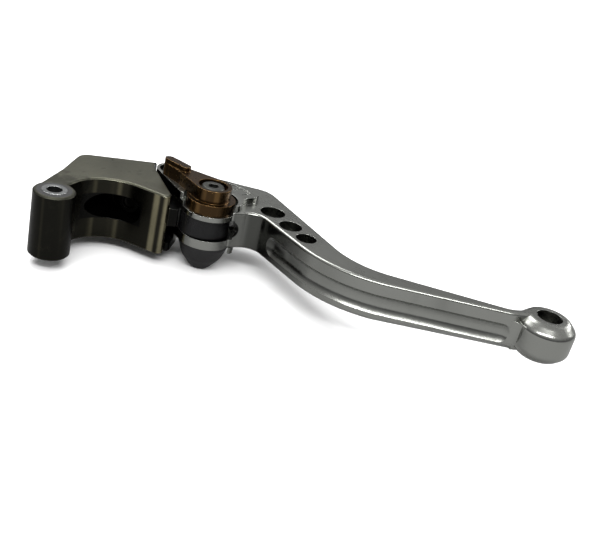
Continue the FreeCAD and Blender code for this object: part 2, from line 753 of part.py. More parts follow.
DIGITS = {
    "1": [(0.05, 0.78), (0.3, 1), (0.3, 0)],
    "2": [(0, 0.85), (0.15, 1), (0.45, 1), (0.6, 0.85), (0.6, 0.6), (0, 0), (0.6, 0)],
    "3": [(0, 1), (0.6, 1), (0.25, 0.6), (0.6, 0.4), (0.6, 0.12), (0.45, 0), (0.12, 0), (0, 0.12)],
    "4": [(0.45, 0), (0.45, 1), (0, 0.3), (0.62, 0.3)],
    "5": [(0.58, 1), (0.08, 1), (0, 0.55), (0.42, 0.6), (0.6, 0.42), (0.6, 0.15), (0.45, 0), (0, 0)],
    "6": [(0.5, 1), (0.1, 0.6), (0, 0.3), (0.12, 0.05), (0.45, 0.03), (0.6, 0.3), (0.45, 0.52), (0.1, 0.45)],
}


def stroke(start, end, width, depth):
    """One straight cut of an engraving tool with round ends, from z 0 downwards."""
    along = end - start
    box = Part.makeBox(along.Length, width, depth, FreeCAD.Vector(0, -width / 2, -depth))
    box.Placement.Rotation = FreeCAD.Rotation(FreeCAD.Vector(1, 0, 0), along)
    box.Placement.Base = start
    tip = Part.makeCylinder(width / 2, depth, end - FreeCAD.Vector(0, 0, depth))
    return [box, tip]


def number_cutter(top):
    size = value("dims.number_height")
    width = value("dims.number_stroke")
    depth = value("dims.number_depth")
    cx, cy = value(CAM[0]), value(CAM[1])
    cuts = []
    for step, line in enumerate(DIGITS.values()):
        angle = value("dims.number_first_angle") + step * value("dims.number_step")
        turn = FreeCAD.Rotation(FreeCAD.Vector(0, 0, 1), angle - 90)
        base = FreeCAD.Vector(cx, cy, top) + turn.multVec(FreeCAD.Vector(0, value("dims.number_circle"), 0))
        points = [
            base + turn.multVec(FreeCAD.Vector((x - 0.3) * size, (y - 0.5) * size, 0)) for x, y in line
        ]
        for start, end in zip(points, points[1:]):
            cuts += stroke(start, end, width, depth)
    return cuts


def band_cutter(top):
    """Shallow ring sector that frames the numbers, round at its first end."""
    inner, outer = value("dims.band_inner"), value("dims.band_outer")
    depth = value("dims.band_depth")
    centre = FreeCAD.Vector(value(CAM[0]), value(CAM[1]), top - depth)
    sweep = value("5 * dims.number_step")
    first = value("dims.number_first_angle")
    sector = Part.makeCylinder(outer, depth + 1, centre, FreeCAD.Vector(0, 0, 1), sweep)
    sector = sector.cut(Part.makeCylinder(inner, depth + 1, centre))
    sector.rotate(centre, FreeCAD.Vector(0, 0, 1), first)
    ends = []
    for angle in (first, first + sweep):
        spoke = FreeCAD.Vector(math.cos(math.radians(angle)), math.sin(math.radians(angle)), 0)
        ends.append(Part.makeCylinder((outer - inner) / 2, depth + 1, centre + spoke * (outer + inner) / 2))
    return sector.multiFuse(ends)


plate_top_z = value(PLATE_TOP)
band_floor = plate_top_z - value("dims.band_depth")
cutter = doc.addObject("Part::Feature", "blade_cutter")
digit_cuts = number_cutter(band_floor)
cutter.Shape = Part.makeCompound(
    [groove_cutter(), tip_bevel_cutter(), band_cutter(plate_top_z).multiFuse(digit_cuts)]
)
lever_blade = doc.addObject("Part::Cut", "lever_blade")
lever_blade.Base = blade
lever_blade.Tool = cutter
keep(lever_blade, "lever_blade")

# ---------------------------------------------------------------- bolts and nuts


def socket_bolt(label, centre, seat, tip):
    """Low-headed socket bolt: head above its seat height, shank down to its tip height."""
    bolt = new_body(label)
    revolve(
        bolt, "profile", centre,
        [
            ("0", tip),
            ("dims.bolt_radius - 0.5", tip),
            ("dims.bolt_radius", f"{tip} + 0.5"),
            ("dims.bolt_radius", seat),
            ("dims.bolt_head_radius", seat),
            ("dims.bolt_head_radius", f"{seat} + dims.bolt_head_height - 0.6"),
            ("dims.bolt_head_radius - 0.6", f"{seat} + dims.bolt_head_height"),
            ("0", f"{seat} + dims.bolt_head_height"),
        ],
    )
    cut_outline(
        bolt, "socket", hexagon(centre, "dims.socket_width", "14"),
        f"{seat} + dims.bolt_head_height - dims.socket_depth", "dims.socket_depth + 1",
    )


socket_bolt("hinge_bolt", HINGE, HEAD_SEAT, f"(-{NUT_SEAT} - dims.nut_height + 0.2)")
nut = new_body("hinge_nut")
pad(nut, "hex", hexagon(HINGE, "dims.nut_width"), f"-{NUT_SEAT} - dims.nut_height", "dims.nut_height")
bore(nut, "thread", HINGE, "dims.bolt_radius", f"-{NUT_SEAT} - dims.nut_height", "dims.nut_height")

DIAL_BOTTOM = f"({SEAT} + {SIDE})"
DIAL_BASE_TOP = f"({DIAL_BOTTOM} + dims.dial_base_height)"
DIAL_TOP = f"({DIAL_BASE_TOP} + dims.dial_hub_height)"
COUNTERBORE_FLOOR = f"({DIAL_TOP} - dims.bolt_head_height - dims.washer_thickness - 0.4)"
CAP_TOP = f"(-{HALF_BLADE} - {SIDE})"
CAP_BOLT_TIP = f"({CAP_TOP} - dims.cap_thread_depth)"
socket_bolt("adjuster_bolt", CAM, f"({COUNTERBORE_FLOOR} + dims.washer_thickness)", CAP_BOLT_TIP)
ring(
    new_body("dial_washer"), "ring", CAM, f"dims.bolt_radius + {GAP}",
    "dims.dial_counterbore_radius - 0.2", COUNTERBORE_FLOOR, "dims.washer_thickness",
)

cap = new_body("cap_nut")
cone = revolve(
    cap, "cone", CAM,
    [
        ("0", CAP_TOP),
        ("dims.cap_top_radius", CAP_TOP),
        ("dims.cap_top_radius", f"{CAP_TOP} - 1.4", "1.2"),
        ("0.8 * dims.cap_top_radius", f"{CAP_TOP} - 0.56 * dims.cap_height", "6"),
        ("dims.cap_tip_radius", f"{CAP_TOP} - dims.cap_height", "3"),
        ("0", f"{CAP_TOP} - dims.cap_height"),
    ],
)
bore(
    cap, "spring_room", CAM, "dims.index_room_radius", f"{CAP_TOP} - dims.index_room_depth",
    "dims.index_room_depth",
)
bore(cap, "thread", CAM, "dims.bolt_radius", f"{CAP_BOLT_TIP} - 0.4", "dims.cap_thread_depth")
ring(
    new_body("thrust_washer"), "ring", CAM, f"dims.bolt_radius + {GAP}", "dims.thrust_washer_radius",
    f"{CAP_TOP} - dims.thrust_washer_thickness", "dims.thrust_washer_thickness",
)
coil(
    "index_spring", CAM, f"{CAP_TOP} - dims.index_room_depth + {SIDE}", "dims.index_spring_radius",
    "dims.index_wire / 2", "dims.index_spring_pitch", "dims.index_spring_turns",
)

# ---------------------------------------------------------------- dial and cam

dial = new_body("adjuster_dial")
disc(dial, "base", CAM, "dims.dial_radius", DIAL_BOTTOM, "dims.dial_base_height")
disc(dial, "hub", CAM, "dims.dial_hub_radius", DIAL_BASE_TOP, "dims.dial_hub_height")
TIP_ANGLE = "dims.dial_tip_angle"
INNER = polar(CAM, "dims.dial_tip_inner", TIP_ANGLE)
OUTER = polar(CAM, "dims.dial_tip_outer", TIP_ANGLE)
pad(
    dial, "arm",
    [
        polar(CAM, "dims.dial_hub_radius", f"{TIP_ANGLE} - 74"),
        polar(INNER, "dims.dial_tip_half_width + 1.2", f"{TIP_ANGLE} - 90"),
        polar(OUTER, "dims.dial_tip_half_width", f"{TIP_ANGLE} - 90"),
        polar(OUTER, "dims.dial_tip_half_width", f"{TIP_ANGLE} + 90"),
        polar(INNER, "dims.dial_tip_half_width + 1.2", f"{TIP_ANGLE} + 90"),
        polar(CAM, "dims.dial_hub_radius", f"{TIP_ANGLE} + 74"),
        CAM,
    ],
    DIAL_BASE_TOP, "dims.dial_hub_height",
)
TIP_HEIGHT = "(dims.dial_hub_height + dims.dial_tip_rise)"
for name, spot in (("inner", INNER), ("outer", OUTER)):
    disc(dial, f"tip_{name}", spot, "dims.dial_tip_half_width", DIAL_BASE_TOP, TIP_HEIGHT)
pad(
    dial, "tip",
    [
        polar(INNER, "dims.dial_tip_half_width", f"{TIP_ANGLE} - 90"),
        polar(OUTER, "dims.dial_tip_half_width", f"{TIP_ANGLE} - 90"),
        polar(OUTER, "dims.dial_tip_half_width", f"{TIP_ANGLE} + 90"),
        polar(INNER, "dims.dial_tip_half_width", f"{TIP_ANGLE} + 90"),
    ],
    DIAL_BASE_TOP, TIP_HEIGHT,
)
bore(dial, "counterbore", CAM, "dims.dial_counterbore_radius", COUNTERBORE_FLOOR, "dims.bolt_head_height + 3")
bore(dial, "neck_bore", CAM, "dims.cam_bush_radius", DIAL_BOTTOM, f"{COUNTERBORE_FLOOR} - {DIAL_BOTTOM}")
DETENT = polar(CAM, "dims.detent_circle", DETENT_ANGLE)
bore(dial, "detent_hole", DETENT, f"dims.detent_ball_radius + {GAP}", DIAL_BOTTOM, "dims.detent_hole_depth")
PINS = [polar(CAM, "dims.cam_bush_radius", f"{TIP_ANGLE} + {90 + turn}") for turn in (0, 180)]
PIN_HEIGHT = f"({COUNTERBORE_FLOOR} - {DIAL_BOTTOM} - 0.2)"

cam = new_body("reach_cam")
ECCENTRIC = polar(CAM, "dims.cam_offset", "dims.cam_lobe_angle")
HALF_CAM = "dims.cam_height / 2"
disc(cam, "eccentric", ECCENTRIC, "dims.cam_radius", f"-{HALF_CAM}", "dims.cam_height")
disc(cam, "neck", CAM, "dims.cam_bush_radius", HALF_CAM, f"{COUNTERBORE_FLOOR} - {HALF_CAM}")
bore(cam, "bore", CAM, f"dims.bolt_radius + {GAP}", f"-{HALF_CAM}", f"{COUNTERBORE_FLOOR} + {HALF_CAM}")
for number, spot in enumerate(PINS):
    bore(dial, f"key_{number}", spot, "dims.drive_pin_radius", DIAL_BOTTOM, PIN_HEIGHT)
    bore(cam, f"key_{number}", spot, "dims.drive_pin_radius", DIAL_BOTTOM, PIN_HEIGHT)
pins = []
for number, spot in enumerate(PINS):
    pin = new_body(f"drive_pin_{number}", kept=False)
    disc(pin, "pin", spot, "dims.drive_pin_radius", DIAL_BOTTOM, PIN_HEIGHT)
    pins.append(pin)
pin_pair = doc.addObject("Part::Compound", "drive_pins")
pin_pair.Links = pins
keep(pin_pair, "drive_pins")

ball = doc.addObject("Part::Sphere", "detent_ball")
ball.setExpression("Radius", "dims.detent_ball_radius * 1 mm")
BALL_Z = f"({SEAT} - dims.detent_track_depth + {GAP} + dims.detent_ball_radius)"
for axis, expression in zip("xyz", (*DETENT, BALL_Z)):
    ball.setExpression(f"Placement.Base.{axis}", f"({expression}) * 1 mm")
keep(ball, "detent_ball")
coil(
    "detent_spring", DETENT, f"{BALL_Z} + dims.detent_ball_radius + {GAP}", "dims.detent_spring_radius",
    "dims.detent_wire / 2", "dims.detent_spring_pitch", "dims.detent_spring_turns",
)

# ---------------------------------------------------------------- check and export

doc.recompute()
broken = [o.Name for o in doc.Objects if {"Invalid", "Error"} & set(o.State)]
if broken:
    raise RuntimeError(f"failed objects: {broken}")
for node in nodes:
    if node.Shape.isNull() or not node.Shape.isValid() or node.Shape.Volume <= 0:
        raise RuntimeError(f"bad shape: {node.Label}")
    node.Shape.exportStep(f"parts/{node.Label}.step")
    print(node.Label, round(node.Shape.Volume, 1), len(node.Shape.Solids))
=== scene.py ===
import math

import bpy
from bpy.props import FloatProperty, FloatVectorProperty, PointerProperty
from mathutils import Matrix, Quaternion, Vector


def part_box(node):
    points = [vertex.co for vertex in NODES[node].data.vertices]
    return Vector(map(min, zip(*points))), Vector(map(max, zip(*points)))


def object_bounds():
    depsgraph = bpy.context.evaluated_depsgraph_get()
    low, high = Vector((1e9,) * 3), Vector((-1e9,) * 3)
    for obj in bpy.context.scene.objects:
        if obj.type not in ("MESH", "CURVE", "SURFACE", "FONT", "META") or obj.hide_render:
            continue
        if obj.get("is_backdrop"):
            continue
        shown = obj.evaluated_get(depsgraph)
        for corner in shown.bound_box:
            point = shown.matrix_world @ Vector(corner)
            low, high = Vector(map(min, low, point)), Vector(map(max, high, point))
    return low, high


bl_info = {
    "name": "Motorcycle brake lever looks",
    "version": (1, 0, 0),
    "blender": (4, 5, 0),
    "location": "View3D > Sidebar > Lever",
    "description": "Finishes and studio for a machined brake lever with a reach dial",
    "category": "Object",
}

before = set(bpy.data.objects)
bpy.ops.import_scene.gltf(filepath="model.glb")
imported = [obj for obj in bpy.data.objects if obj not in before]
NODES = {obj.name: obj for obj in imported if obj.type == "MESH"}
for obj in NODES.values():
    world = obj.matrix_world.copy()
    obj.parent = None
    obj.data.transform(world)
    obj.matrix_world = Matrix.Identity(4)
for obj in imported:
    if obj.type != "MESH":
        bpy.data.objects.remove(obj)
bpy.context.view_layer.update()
CAM_AXIS = sum(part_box("adjuster_bolt"), Vector()) / 2
HINGE_AXIS = sum(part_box("hinge_bush"), Vector()) / 2
PIVOT_RADIUS = max(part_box("pivot_sleeve")[1][:2])

# on the blade, in metres: the cam's slot with its painted shadow, where the upright faces turn from painted
# shade to painted light, the rim round the cam with painted light, the lightening holes (centre and radius)
# with painted light on their walls, and the engraved numbers
HALF_SLOT = 0.0046
SLOT_END_START = 0.0096
SIDE_FADE = (0.068, 0.125)
RIM_RADIUS = 0.0118
HOLES = (
    ((0.0690, 0.0600, 0.0), 0.0055),
    ((0.0806, 0.0528, 0.0), 0.0050),
    ((0.0904, 0.0467, 0.0), 0.0044),
)
HOLE_MARGIN = 0.00005
NUMBER_CIRCLE = 0.0179
NUMBER_HEIGHT = 0.0044
NUMBER_DEPTH = 0.0006

# on the adapter, in metres: the slanted face with painted shade past it, the two bands of painted reflection
# on the sides and the push-rod pocket with painted shade
SLANT_SETBACK = 0.0113
SLANT_SOFT = 0.001
SHINE_X = 0.0284
SHINE_HALF = 0.0006
NOSE_X = 0.0312
NOSE_Y = 0.0340
BAND_SOFT = (0.0014, 0.0013, 0.001)
POCKET_HALF_SIZE = (0.0105, 0.0135, 0.0056)
GREASE_REACH = 5.0 * PIVOT_RADIUS

# how much a mask changes a finish; the streaks, bands and edge lift paint reflections and highlights
SIDE_ROUGHNESS = {"blade": -0.12, "adapter": -0.14}
GREASE_ROUGHNESS = 0.2
FAINT_STREAKS = 0.25
BRIGHT_BANDS = 0.85
DIAL_STREAKS = 0.5
EDGE_LIFT = 0.02

# floor, surroundings and sky
FLOOR_SIZE = 30.0
FLOOR_GAP = 0.0002
FLOOR_REFLECTED = 0.28
HORIZON = (0.22, 0.22, 0.225, 1.0)
ZENITH = (1.0, 1.0, 1.0, 1.0)
FULL_BRIGHT_HEIGHT = 0.75
SKY_POWER = 2.4
SKY_SPREAD = math.radians(70)


# ---------------------------------------------------------------- settings


def colour(name, description, default):
    return FloatVectorProperty(
        name=name, description=description, default=default, size=3, subtype="COLOR", min=0.0, max=1.0
    )


def share(name, description, default):
    return FloatProperty(
        name=name, description=description, default=default, min=0.0, max=1.0, subtype="FACTOR"
    )


class BladeSettings(bpy.types.PropertyGroup):
    metal: colour("Metal", "Colour of the satin machined blade", (0.30, 0.305, 0.285))
    # the side colour is painted shade on the blade's upright faces near the fork
    side: colour("Sides", "Colour of the blade's upright faces near the fork", (0.10, 0.102, 0.094))
    # the shade colour is painted shadow inside the cam's slot and the dark paint on the floors of the
    # engraved numbers
    shade: colour("Shade", "Colour of the slot and the engraved numbers", (0.010, 0.010, 0.010))
    roughness: share("Roughness", "Roughness of the satin faces", 0.29)
    edge_radius: FloatProperty(
        name="Edge radius", description="Radius of the broken edges", default=0.00018, unit="LENGTH", min=0.0
    )


class AdapterSettings(bpy.types.PropertyGroup):
    metal: colour("Metal", "Colour of the adapter's flat faces", (0.125, 0.124, 0.095))
    # the side colour is painted shade on the upright faces, and the streak colour is painted reflections down
    # them
    side: colour("Sides", "Colour of the adapter's upright faces", (0.026, 0.025, 0.019))
    streak: colour("Streaks", "Colour of the bright streaks down the sides", (0.34, 0.31, 0.20))
    # the grease colour is dirt round the pivot and also painted shade past the slanted face and in the
    # push-rod pocket
    grease_and_shade: colour("Grease", "Colour of the dirt round the pivot", (0.012, 0.012, 0.011))
    roughness: share("Roughness", "Roughness of the flat faces", 0.34)
    grime: share("Grime", "How much dirt lies round the pivot", 0.65)


class AdjusterSettings(bpy.types.PropertyGroup):
    bronze: colour("Bronze", "Colour of the anodised dial", (0.066, 0.039, 0.018))
    # the gold colour is painted highlights on the dial's edges and painted reflection streaks down its sides
    gold: colour("Gold", "Colour of the dial's edges and the streaks down its sides", (0.24, 0.14, 0.055))
    black: colour("Black", "Colour of the cap and the cam", (0.006, 0.006, 0.0065))
    roughness: share("Roughness", "Roughness of the anodised faces", 0.27)


class HardwareSettings(bpy.types.PropertyGroup):
    screw: colour("Screws", "Colour of the plated screws and the nut", (0.095, 0.097, 0.090))
    steel: colour("Steel", "Colour of the ground steel pieces", (0.42, 0.43, 0.43))
    # the cup colour is painted shade: near black because the cup sits in the shade of the pocket
    cup: colour("Cup", "Colour of the greasy push-rod cup", (0.014, 0.014, 0.013))
    spring: colour("Springs", "Colour of the wire springs", (0.24, 0.25, 0.27))
    bearing: colour("Bronze bearings", "Colour of the liner, shims and thrust washer", (0.50, 0.31, 0.14))
    copper: colour("Copper", "Colour of the washer under the screw head", (0.62, 0.28, 0.13))
    rubber: colour("Rubber", "Colour of the pivot seals", (0.012, 0.012, 0.012))


class StageSettings(bpy.types.PropertyGroup):
    azimuth: FloatProperty(
        name="Azimuth", description="Where the camera stands round the lever", default=math.radians(16.3),
        subtype="ANGLE",
    )
    elevation: FloatProperty(
        name="Elevation", description="How high the camera stands", default=math.radians(25.8),
        subtype="ANGLE",
    )
    distance: FloatProperty(
        name="Distance", description="From the camera to the lever's middle", default=0.342, unit="LENGTH"
    )
    roll: FloatProperty(
        name="Roll", description="Turn of the camera about its own view", default=math.radians(14.0),
        subtype="ANGLE",
    )
    lens: FloatProperty(
        name="Lens", description="Focal length on a 36 mm sensor", default=50.5, unit="CAMERA"
    )
    floor: colour("Floor", "Colour of the floor", (0.86, 0.86, 0.86))
    key: FloatProperty(name="Key light", description="Power of the large softbox", default=3.2, min=0.0)
    world: FloatProperty(
        name="Surroundings", description="Strength of the surroundings", default=0.55, min=0.0
    )


SETTINGS = {
    "lever_blade_finish": BladeSettings,
    "lever_adapter_finish": AdapterSettings,
    "lever_adjuster_finish": AdjusterSettings,
    "lever_hardware_finish": HardwareSettings,
    "lever_stage": StageSettings,
}


# ---------------------------------------------------------------- node helpers


class Tree:
    """Short ways to add and join nodes in one node tree."""

    def __init__(self, tree):
        self.tree = tree

    def add(self, kind, inputs=None, **settings):
        node = self.tree.nodes.new(kind)
        for name, value in settings.items():
            setattr(node, name, value)
        for name, value in (inputs or {}).items():
            self.put(node.inputs[name], value)
        return node

    def put(self, socket, value):
        if isinstance(value, bpy.types.NodeSocket):
            self.tree.links.new(value, socket)
        elif isinstance(value, bpy.types.Node):
            self.tree.links.new(value.outputs[0], socket)
        else:
            socket.default_value = value

    def math(self, operation, first, second=0.0, clamp=False):
        return self.add("ShaderNodeMath", {0: first, 1: second}, operation=operation, use_clamp=clamp)

    def fold(self, operation, first, *others):
        """One operation on several values in turn."""
        for value in others:
            first = self.math(operation, first, value)
        return first

    def swing(self, noise, amount):
        """A noise between 0 and 1 turned into a change about 0."""
        return self.math("MULTIPLY", self.math("SUBTRACT", noise, 0.5), amount)

    def ramp(self, value, low, high):
        """0 below low and 1 above high, smooth in between."""
        return self.add(
            "ShaderNodeMapRange", {"Value": value, "From Min": low, "From Max": high},
            interpolation_type="SMOOTHSTEP", clamp=True,
        )

    def within(self, value, centre, half, soft=0.0003):
        """1 where a value is within half of a centre, and 0 further away."""
        away = self.math("ABSOLUTE", self.math("SUBTRACT", value, centre))
        return self.math("SUBTRACT", 1.0, self.ramp(away, half, half + soft))

    def place(self):
        """The shaded point, in the lever's own coordinates."""
        return self.add("ShaderNodeTexCoord").outputs["Object"]

    def axes(self):
        """The same point as its sockets X, Y and Z."""
        return self.add("ShaderNodeSeparateXYZ", {0: self.place()}).outputs

    def stretched(self, stretch):
        """The same point with each axis multiplied, which flattens it or draws noise out."""
        inputs = {0: self.place(), 1: stretch}
        return self.add("ShaderNodeVectorMath", inputs, operation="MULTIPLY")

    def reach(self, centre):
        """Distance in plan from an upright line through a centre."""
        flat = self.stretched((1.0, 1.0, 0.0))
        foot = (centre.x, centre.y, 0.0)
        return self.add("ShaderNodeVectorMath", {0: flat, 1: foot}, operation="DISTANCE").outputs["Value"]

    def mix(self, amount, first, second):
        node = self.tree.nodes.new("ShaderNodeMix")
        node.data_type = "RGBA"
        for index, value in ((0, amount), (6, first), (7, second)):
            self.put(node.inputs[index], value)
        return node.outputs[2]

    def group(self, group, **inputs):
        node = self.add("ShaderNodeGroup", node_tree=group)
        for name, value in inputs.items():
            self.put(node.inputs[name.replace("_", " ")], value)
        return node


def new_group(name, inputs, outputs):
    """An empty shader group; inputs and outputs map socket names to a kind, inputs with a default too."""
    group = bpy.data.node_groups.new(name, "ShaderNodeTree")
    for label, (kind, default) in inputs.items():
        group.interface.new_socket(label, in_out="INPUT", socket_type=kind).default_value = default
    for label, kind in outputs.items():
        group.interface.new_socket(label, in_out="OUTPUT", socket_type=kind)
    tree = Tree(group)
    return group, tree, tree.add("NodeGroupInput"), tree.add("NodeGroupOutput")


FLOAT, VECTOR = "NodeSocketFloat", "NodeSocketVector"


def machined_grain():
    """Fine tool lines and faint blotches: a height for bump, a roughness change about 0 and a blotch mask."""
    group, tree, given, out = new_group(
        "machined_grain",
        {"Line scale": (FLOAT, 900.0), "Stretch": (VECTOR, (0.05, 1.0, 1.0)), "Blotch scale": (FLOAT, 60.0)},
        {"Height": FLOAT, "Roughness change": FLOAT, "Blotch": FLOAT},
    )
    line_change, blotch_change = 0.14, 0.25
    blotch_start, blotch_full = 0.35, 0.7
    drawn = tree.stretched(given.outputs["Stretch"])
    lines = tree.add(
        "ShaderNodeTexNoise", {"Vector": drawn, "Scale": given.outputs["Line scale"], "Detail": 4.0}
    )
    blotch = tree.add(
        "ShaderNodeTexNoise", {"Vector": tree.place(), "Scale": given.outputs["Blotch scale"], "Detail": 3.0}
    )
    change = tree.math("ADD", tree.swing(lines, line_change), tree.swing(blotch, blotch_change))
    tree.put(out.inputs["Height"], lines)
    tree.put(out.inputs["Roughness change"], change)
    tree.put(out.inputs["Blotch"], tree.ramp(blotch, blotch_start, blotch_full))
    return group


def upright_streaks():
    """1 on faces that stand upright, and streaks that run straight down them; the finishes use them for
    painted light and shade on upright faces and painted reflection streaks.
    """
    group, tree, given, out = new_group(
        "upright_streaks",
        {"Scale": (FLOAT, 120.0), "Width": (FLOAT, 0.5)},
        {"Upright": FLOAT, "Streak": FLOAT},
    )
    leaning, standing = 0.35, 0.75
    thin_start, width_share, soft = 0.78, 0.4, 0.12
    normal = tree.add("ShaderNodeNewGeometry").outputs["Normal"]
    height = tree.add("ShaderNodeSeparateXYZ", {0: normal}).outputs["Z"]
    steep = tree.math("SUBTRACT", 1.0, tree.math("ABSOLUTE", height))
    drawn = tree.stretched((1.0, 1.0, 0.02))
    bands = tree.add("ShaderNodeTexNoise", {"Vector": drawn, "Scale": given.outputs["Scale"], "Detail": 2.0})
    low = tree.math("SUBTRACT", thin_start, tree.math("MULTIPLY", given.outputs["Width"], width_share))
    tree.put(out.inputs["Upright"], tree.ramp(steep, leaning, standing))
    tree.put(out.inputs["Streak"], tree.ramp(bands, low, tree.math("ADD", low, soft)))
    return group


def softened_edges_highlight():
    """A softened normal, and a mask that is 1 along sharp edges, where the finishes paint a highlight."""
    group, tree, given, out = new_group(
        "softened_edges_highlight", {"Radius": (FLOAT, 0.0003)}, {"Normal": VECTOR, "Edge": FLOAT}
    )
    least_turn, full_turn = 0.01, 0.12
    soft = tree.add("ShaderNodeBevel", {"Radius": given.outputs["Radius"]}, samples=8)
    plain = tree.add("ShaderNodeNewGeometry").outputs["Normal"]
    match = tree.add("ShaderNodeVectorMath", {0: soft, 1: plain}, operation="DOT_PRODUCT").outputs["Value"]
    tree.put(out.inputs["Normal"], soft)
    tree.put(out.inputs["Edge"], tree.ramp(tree.math("SUBTRACT", 1.0, match), least_turn, full_turn))
    return group


def dirt():
    """Greasy dirt within a distance of the pivot's axis, broken up by noise."""
    group, tree, given, out = new_group(
        "dirt", {"Reach": (FLOAT, 0.02), "Amount": (FLOAT, 0.5), "Scale": (FLOAT, 160.0)}, {"Dirt": FLOAT}
    )
    bare, caked, spottiness = 0.1, 0.6, 1.6
    away = tree.reach(Vector())
    near = tree.math("SUBTRACT", 1.0, tree.math("DIVIDE", away, given.outputs["Reach"]), clamp=True)
    spots = tree.add(
        "ShaderNodeTexNoise", {"Vector": tree.place(), "Scale": given.outputs["Scale"], "Detail": 6.0}
    )
    covered = tree.ramp(tree.math("ADD", near, tree.swing(spots, spottiness)), bare, caked)
    tree.put(out.inputs["Dirt"], tree.math("MULTIPLY", covered, given.outputs["Amount"]))
    return group


GROUP_MAKERS = {m.__name__: m for m in (machined_grain, upright_streaks, softened_edges_highlight, dirt)}


def shared(name):
    return bpy.data.node_groups.get(name) or GROUP_MAKERS[name]()


def new_material(name, metallic=1.0):
    """An empty material with one Principled shader; returns it with its tree and shader."""
    material = bpy.data.materials.new(name)
    material.use_nodes = True
    tree = Tree(material.node_tree)
    shader = material.node_tree.nodes["Principled BSDF"]
    shader.inputs["Metallic"].default_value = metallic
    return material, tree, shader


def opaque(rgb):
    return (*rgb, 1.0)


def tinted(rgb, gain, lift=0.0):
    """An opaque colour made brighter or darker by a gain and a small lift, kept at 1 or less."""
    return opaque([min(1.0, c * gain + lift) for c in rgb])


def mottled(tree, grain, rgb, amount, gain):
    """A metal's colour with faint blotches of another brightness."""
    return tree.mix(tree.math("MULTIPLY", grain.outputs["Blotch"], amount), opaque(rgb), tinted(rgb, gain))


def rough(tree, base, change, low=0.08, high=0.9):
    """A plain roughness plus a change over the surface, kept within limits."""
    summed = tree.math("ADD", change, base)
    return tree.add("ShaderNodeClamp", {"Value": summed, "Min": low, "Max": high})


def simple_metal(name, rgb, roughness, edge_radius=0.0002, edge_gain=1.5, metallic=1.0, line_scale=1400.0):
    """A plain metal with faint tool lines and softened edges with a painted highlight."""
    material, tree, shader = new_material(name, metallic)
    grain = tree.group(shared("machined_grain"), Line_scale=line_scale, Stretch=(1.0, 1.0, 0.08))
    edges = tree.group(shared("softened_edges_highlight"), Radius=edge_radius)
    # painted highlight along the edges
    bright = tinted(rgb, edge_gain, EDGE_LIFT)
    tree.put(shader.inputs["Base Color"], tree.mix(edges.outputs["Edge"], opaque(rgb), bright))
    tree.put(shader.inputs["Roughness"], rough(tree, roughness, grain.outputs["Roughness change"]))
    tree.put(shader.inputs["Normal"], edges.outputs["Normal"])
    return material


def finish(material, *names):
    """Gives these frame nodes the material in place of their own."""
    for name in names:
        slots = NODES[name].data.materials
        slots.clear()
        slots.append(material)


# ---------------------------------------------------------------- operators


class LEVER_OT_blade(bpy.types.Operator):
    """Satin machined blade with painted highlights on its edges, painted light and shade on its upright faces
    and painted reflection streaks down them
    """

    bl_idname = "lever.blade"
    bl_label = "Finish the blade"

    def execute(self, context):
        settings = context.scene.lever_blade_finish
        material, tree, shader = new_material("blade_satin_aluminium")
        grain = tree.group(shared("machined_grain"), Line_scale=1100.0, Stretch=(0.35, 1.0, 1.0))
        streaks = tree.group(shared("upright_streaks"), Scale=55.0, Width=0.75)
        edges = tree.group(shared("softened_edges_highlight"), Radius=settings.edge_radius)
        mottle_and_edge_highlight = mottled(tree, grain, settings.metal, amount=0.22, gain=0.72)
        # upright faces: painted light away from the fork, in the holes and on the rim, painted shade
        # elsewhere, and painted reflection streaks
        pale = tinted(settings.metal, gain=1.2)
        plain_side = tree.mix(self.pale_sides(tree), opaque(settings.side), pale)
        side = tree.mix(streaks.outputs["Streak"], plain_side, opaque(settings.metal))
        body = tree.mix(streaks.outputs["Upright"], mottle_and_edge_highlight, side)
        # painted highlight along the edges
        edge_highlighted = tree.mix(edges.outputs["Edge"], body, tinted(settings.metal, gain=1.7))
        tree.put(shader.inputs["Base Color"], tree.mix(self.shade(tree), edge_highlighted, opaque(settings.shade)))
        smoother = tree.math("MULTIPLY", streaks.outputs["Upright"], SIDE_ROUGHNESS["blade"])
        change = tree.math("ADD", grain.outputs["Roughness change"], smoother)
        tree.put(shader.inputs["Roughness"], rough(tree, settings.roughness, change))
        bump = tree.add(
            "ShaderNodeBump",
            {"Strength": 0.06, "Distance": 0.0002, "Height": grain.outputs["Height"],
             "Normal": edges.outputs["Normal"]},
        )
        tree.put(shader.inputs["Normal"], bump)
        finish(material, "lever_blade")
        return {"FINISHED"}

    def pale_sides(self, tree):
        """1 where upright faces get painted light instead of painted shade: away from the fork, in the holes
        and on the rim.
        """
        past_fork = tree.ramp(tree.axes()["X"], *SIDE_FADE)
        rim = tree.within(tree.reach(CAM_AXIS), 0.0, RIM_RADIUS)
        return tree.fold("MAXIMUM", past_fork, self.in_holes(tree), rim)

    def in_holes(self, tree):
        """1 on the walls of the three lightening holes."""
        masks = [
            tree.within(tree.reach(Vector(centre)), 0.0, radius + HOLE_MARGIN, soft=0.0001)
            for centre, radius in HOLES
        ]
        return tree.fold("MAXIMUM", *masks)

    def shade(self, tree):
        """1 inside the round-ended slot at the cam, where shadow is painted, and on the floors of the
        engraved numbers, which are painted dark.
        """
        height = tree.axes()["Z"]
        reach = tree.reach(CAM_AXIS)
        past = tree.math("MAXIMUM", tree.math("SUBTRACT", reach, SLOT_END_START), 0.0)
        squares = [tree.math("MULTIPLY", leg, leg) for leg in (past, height)]
        slot = tree.within(tree.math("SQRT", tree.math("ADD", *squares)), 0.0, HALF_SLOT)
        ring = tree.within(reach, NUMBER_CIRCLE, NUMBER_HEIGHT / 2)
        number_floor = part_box("lever_blade")[1].z - NUMBER_DEPTH
        depth = tree.within(height, number_floor, NUMBER_DEPTH / 4, soft=0.00005)
        return tree.math("MAXIMUM", slot, tree.math("MULTIPLY", ring, depth))


